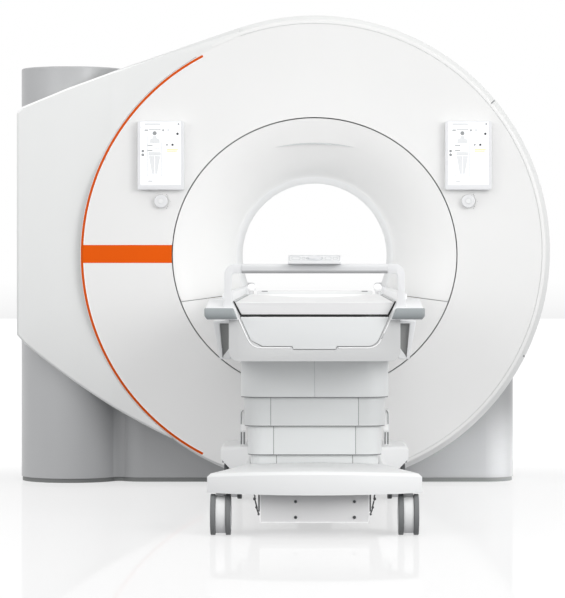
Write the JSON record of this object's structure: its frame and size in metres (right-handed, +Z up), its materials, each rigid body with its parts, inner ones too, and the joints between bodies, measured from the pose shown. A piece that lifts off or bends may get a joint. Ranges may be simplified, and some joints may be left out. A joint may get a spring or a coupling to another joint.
{
  "type": "mri scanner",
  "caption": "Closed-bore MRI scanner: large round front cover with funnel-shaped tunnel, swept side wing, grey housing and tower, and a docked mobile patient table on a telescopic column",
  "frame": {"origin": "on the floor, straight below the isocentre (the middle of the bore's length on its axis)", "axes": "+Y along the bore from the front face to the back, +X to the right seen from the front, +Z up"},
  "size_m": [1.9999, 3.73, 1.753],
  "materials": {
    "cover_white": "smooth satin gloss, moulded covers",
    "wing_white": "smooth satin gloss, slightly greyer white",
    "funnel_white": "smooth satin gloss, moulded funnel",
    "housing_grey": "matt light grey paint",
    "plinth_dark": "matt dark grey paint",
    "accent_orange": "bare orange inlay",
    "vessel_steel": "satin stainless steel",
    "coil_epoxy": "cast epoxy over copper",
    "bore_lining": "smooth satin tube",
    "display_case": "satin silver-white case",
    "screen_face": null,
    "knob_silver": "fine turned metal",
    "knob_cap": "satin grey cap",
    "bore_grey": "satin light grey",
    "dock_dark": "matt dark grey paint",
    "table_white": "satin moulded tabletop",
    "tub_white": "satin moulded tub",
    "handle_grey": "soft-touch grip",
    "bumper_grey": "matt grey bumper pads",
    "skirt_white": "satin moulded skirt",
    "core_dark": "matt dark core",
    "column_white": "satin moulded covers",
    "pillar_steel": "ground steel",
    "chassis_steel": "matt grey paint",
    "plate_metal": "light grey painted sheet",
    "screw_steel": "bright screw heads",
    "lever_dark": "dark levers",
    "caster_grey": "moulded hood",
    "tyre_grey": "non-marking tyre"
  },
  "bodies": {
    "gantry": {"magnet_vessel": "vessel_steel", "gradient_coil": "coil_epoxy", "body_coil": "coil_epoxy", "bore_liner": "bore_lining", "front_cover": "cover_white", "rim_band": "cover_white", "wing_cover": "wing_white", "accent_strip": "accent_orange", "funnel_upper": "funnel_white", "funnel_lower": "funnel_white", "rear_funnel": "funnel_white", "body_cover": "housing_grey", "tower_cover": "housing_grey", "plinth": "plinth_dark", "rear_cover": "cover_white", "display_left": "display_case", "display_right": "display_case", "screen_left": "screen_face", "screen_right": "screen_face", "knob_bezels": "cover_white", "bore_bridge": "bore_grey", "bore_rails": "bore_grey", "dock_socket": "dock_dark"},
    "dial_left": {"knob_left": "knob_silver"},
    "dial_right": {"knob_right": "knob_silver"},
    "dial_cap_left": {"knob_button_left": "knob_cap"},
    "dial_cap_right": {"knob_button_right": "knob_cap"},
    "trolley": {"chassis": "chassis_steel", "base_cover": "skirt_white", "front_plate": "plate_metal", "front_plate_screws": "screw_steel", "brake_levers": "lever_dark", "dock_coupler": "dock_dark", "column_cover_4": "column_white", "lift_column_outer": "pillar_steel"},
    "lift": {"tub": "tub_white", "table_rails": "pillar_steel", "handle_brackets": "skirt_white", "handle_grip": "handle_grey", "bumper_pads": "bumper_grey", "control_panel": "skirt_white", "side_rails": "skirt_white", "side_skirts": "skirt_white", "side_cores": "core_dark", "column_cover_1": "column_white", "lift_column_inner": "pillar_steel"},
    "stage_2": {"column_cover_2": "column_white"},
    "stage_3": {"column_cover_3": "column_white"},
    "table": {"tabletop": "table_white", "head_socket": "table_white"},
    "flap": {"front_flap": "tub_white"},
    "panel_button": {"control_button": "knob_cap"},
    "swivel_front_left": {"caster_front_left": "caster_grey"},
    "wheel_front_left": {"wheels_front_left": "tyre_grey"},
    "swivel_front_right": {"caster_front_right": "caster_grey"},
    "wheel_front_right": {"wheels_front_right": "tyre_grey"},
    "swivel_rear_left": {"caster_rear_left": "caster_grey"},
    "wheel_rear_left": {"wheels_rear_left": "tyre_grey"},
    "swivel_rear_right": {"caster_rear_right": "caster_grey"},
    "wheel_rear_right": {"wheels_rear_right": "tyre_grey"}
  },
  "joints": [
    {"name": "trolley_dock", "type": "slide", "parent": "gantry", "child": "trolley", "axis": [0, 1, 0], "range_m": [-0.8, 0]},
    {"name": "table_lift", "type": "slide", "parent": "trolley", "child": "lift", "axis": [0, 0, 1], "range_m": [-0.2, 0]},
    {"name": "stage_2_slide", "type": "slide", "parent": "trolley", "child": "stage_2", "axis": [0, 0, 1], "range_m": [-0.11, 0]},
    {"name": "stage_3_slide", "type": "slide", "parent": "trolley", "child": "stage_3", "axis": [0, 0, 1], "range_m": [-0.024, 0]},
    {"name": "table_slide", "type": "slide", "parent": "lift", "child": "table", "axis": [0, 1, 0], "range_m": [0, 1.5]},
    {"name": "flap_hinge", "type": "hinge", "parent": "lift", "child": "flap", "pos_m": [0, -2.823, 0.659], "axis": [-1, 0, 0], "range_deg": [0, 60]},
    {"name": "panel_button_press", "type": "slide", "parent": "lift", "child": "panel_button", "axis": [0, 0.3404, -0.9403], "range_m": [0, 0.0015], "stiffness_N_per_m": 800},
    {"name": "dial_turn_left", "type": "hinge", "parent": "gantry", "child": "dial_left", "pos_m": [-0.572, -0.81, 1.058], "axis": [0, 1, 0], "continuous": true},
    {"name": "dial_press_left", "type": "slide", "parent": "dial_left", "child": "dial_cap_left", "axis": [0, 1, 0], "range_m": [0, 0.002], "stiffness_N_per_m": 500},
    {"name": "dial_turn_right", "type": "hinge", "parent": "gantry", "child": "dial_right", "pos_m": [0.572, -0.81, 1.058], "axis": [0, 1, 0], "continuous": true},
    {"name": "dial_press_right", "type": "slide", "parent": "dial_right", "child": "dial_cap_right", "axis": [0, 1, 0], "range_m": [0, 0.002], "stiffness_N_per_m": 500},
    {"name": "caster_swivel_front_left", "type": "hinge", "parent": "trolley", "child": "swivel_front_left", "pos_m": [-0.2866, -2.772, 0.126], "axis": [0, 0, 1], "continuous": true},
    {"name": "wheel_spin_front_left", "type": "hinge", "parent": "swivel_front_left", "child": "wheel_front_left", "pos_m": [-0.2866, -2.807, 0.0625], "axis": [1, 0, 0], "continuous": true},
    {"name": "caster_swivel_front_right", "type": "hinge", "parent": "trolley", "child": "swivel_front_right", "pos_m": [0.2866, -2.772, 0.126], "axis": [0, 0, 1], "continuous": true},
    {"name": "wheel_spin_front_right", "type": "hinge", "parent": "swivel_front_right", "child": "wheel_front_right", "pos_m": [0.2866, -2.807, 0.0625], "axis": [1, 0, 0], "continuous": true},
    {"name": "caster_swivel_rear_left", "type": "hinge", "parent": "trolley", "child": "swivel_rear_left", "pos_m": [-0.2866, -1.4, 0.126], "axis": [0, 0, 1], "continuous": true},
    {"name": "wheel_spin_rear_left", "type": "hinge", "parent": "swivel_rear_left", "child": "wheel_rear_left", "pos_m": [-0.2866, -1.435, 0.0625], "axis": [1, 0, 0], "continuous": true},
    {"name": "caster_swivel_rear_right", "type": "hinge", "parent": "trolley", "child": "swivel_rear_right", "pos_m": [0.2866, -1.4, 0.126], "axis": [0, 0, 1], "continuous": true},
    {"name": "wheel_spin_rear_right", "type": "hinge", "parent": "swivel_rear_right", "child": "wheel_rear_right", "pos_m": [0.2866, -1.435, 0.0625], "axis": [1, 0, 0], "continuous": true}
  ],
  "couplings": [
    {"joint": "stage_2_slide", "follows": "table_lift", "ratio": 0.55},
    {"joint": "stage_3_slide", "follows": "table_lift", "ratio": 0.12}
  ]
}
